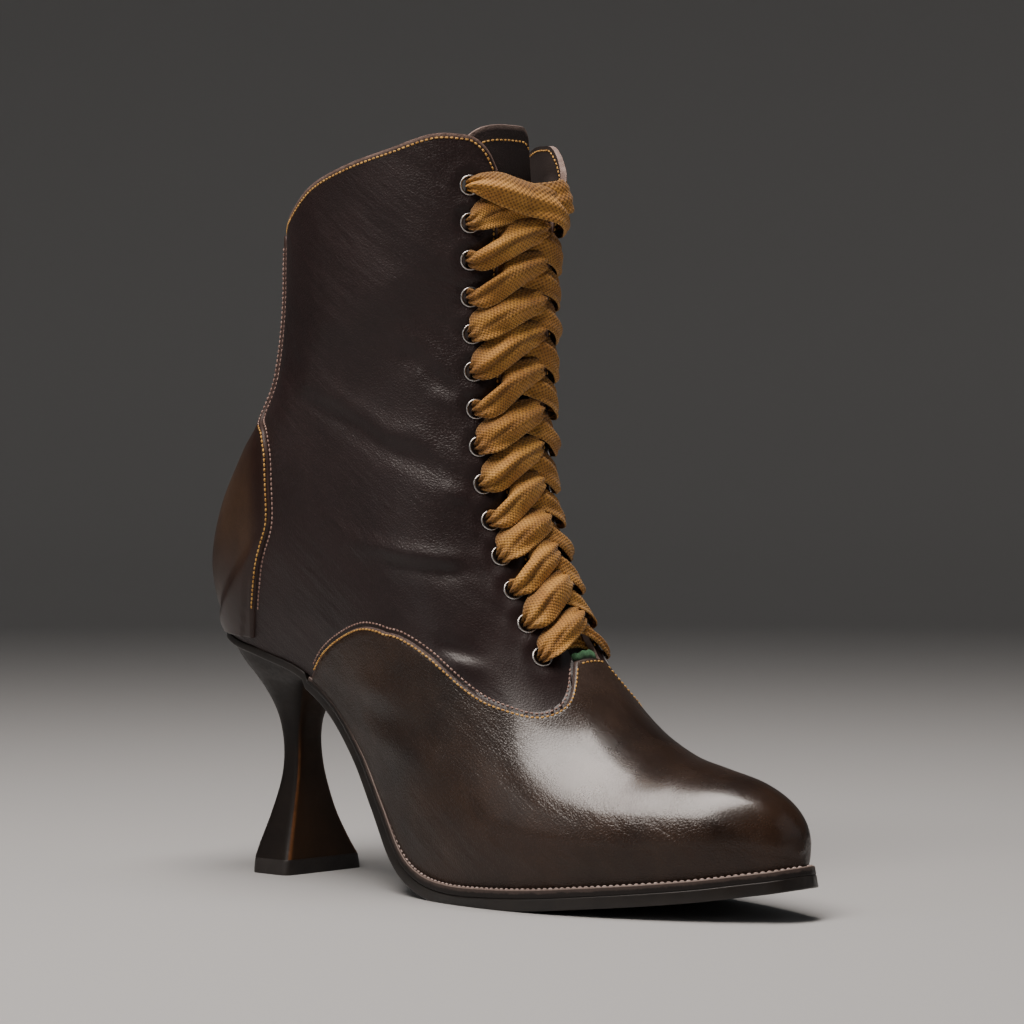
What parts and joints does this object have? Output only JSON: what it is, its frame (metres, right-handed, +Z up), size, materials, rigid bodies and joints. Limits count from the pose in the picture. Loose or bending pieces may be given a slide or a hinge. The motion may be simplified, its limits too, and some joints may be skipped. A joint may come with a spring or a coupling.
{
  "type": "lace-up bootie",
  "caption": "Right lace-up ankle boot with an almond toe, a polished vamp, criss-cross ribbon lacing up the front and a slim spool heel flared to a square foot.",
  "frame": {"origin": "middle of the bounding box, on the floor under the shoe", "axes": "+X to the toe, +Y to the inner side of the foot, +Z up"},
  "size_m": [0.2466, 0.08, 0.245],
  "materials": {
    "quarter_leather": "soft sheen, dark purplish brown",
    "vamp_leather": "polished brown",
    "counter_leather": "semi-gloss tan brown",
    "tongue_leather": "matte dark brown",
    "insole_board": "matte tan",
    "welt_leather": "waxed edge",
    "sole_leather": "dark waxed edge",
    "heel_wood": "dark stained, satin",
    "top_lift_rubber": "matte",
    "eyelet_metal": "nickel plated",
    "lace_ribbon": "woven gold ribbon"
  },
  "bodies": {
    "root": {"upper": "quarter_leather", "vamp": "vamp_leather", "counter": "counter_leather", "tongue": "tongue_leather", "insole": "insole_board", "welt": "welt_leather", "outsole": "sole_leather", "heel": "heel_wood", "top_lift": "top_lift_rubber", "eyelet_lateral_01": "eyelet_metal", "eyelet_lateral_02": "eyelet_metal", "eyelet_lateral_03": "eyelet_metal", "eyelet_lateral_04": "eyelet_metal", "eyelet_lateral_05": "eyelet_metal", "eyelet_lateral_06": "eyelet_metal", "eyelet_lateral_07": "eyelet_metal", "eyelet_lateral_08": "eyelet_metal", "eyelet_lateral_09": "eyelet_metal", "eyelet_lateral_10": "eyelet_metal", "eyelet_lateral_11": "eyelet_metal", "eyelet_lateral_12": "eyelet_metal", "eyelet_lateral_13": "eyelet_metal", "eyelet_lateral_14": "eyelet_metal", "eyelet_medial_01": "eyelet_metal", "eyelet_medial_02": "eyelet_metal", "eyelet_medial_03": "eyelet_metal", "eyelet_medial_04": "eyelet_metal", "eyelet_medial_05": "eyelet_metal", "eyelet_medial_06": "eyelet_metal", "eyelet_medial_07": "eyelet_metal", "eyelet_medial_08": "eyelet_metal", "eyelet_medial_09": "eyelet_metal", "eyelet_medial_10": "eyelet_metal", "eyelet_medial_11": "eyelet_metal", "eyelet_medial_12": "eyelet_metal", "eyelet_medial_13": "eyelet_metal", "eyelet_medial_14": "eyelet_metal", "lace_crossing_01": "lace_ribbon", "lace_crossing_02": "lace_ribbon", "lace_crossing_03": "lace_ribbon", "lace_crossing_04": "lace_ribbon", "lace_crossing_05": "lace_ribbon", "lace_crossing_06": "lace_ribbon", "lace_crossing_07": "lace_ribbon", "lace_crossing_08": "lace_ribbon", "lace_crossing_09": "lace_ribbon", "lace_crossing_10": "lace_ribbon", "lace_crossing_11": "lace_ribbon", "lace_crossing_12": "lace_ribbon", "lace_crossing_13": "lace_ribbon"}
  },
  "joints": []
}
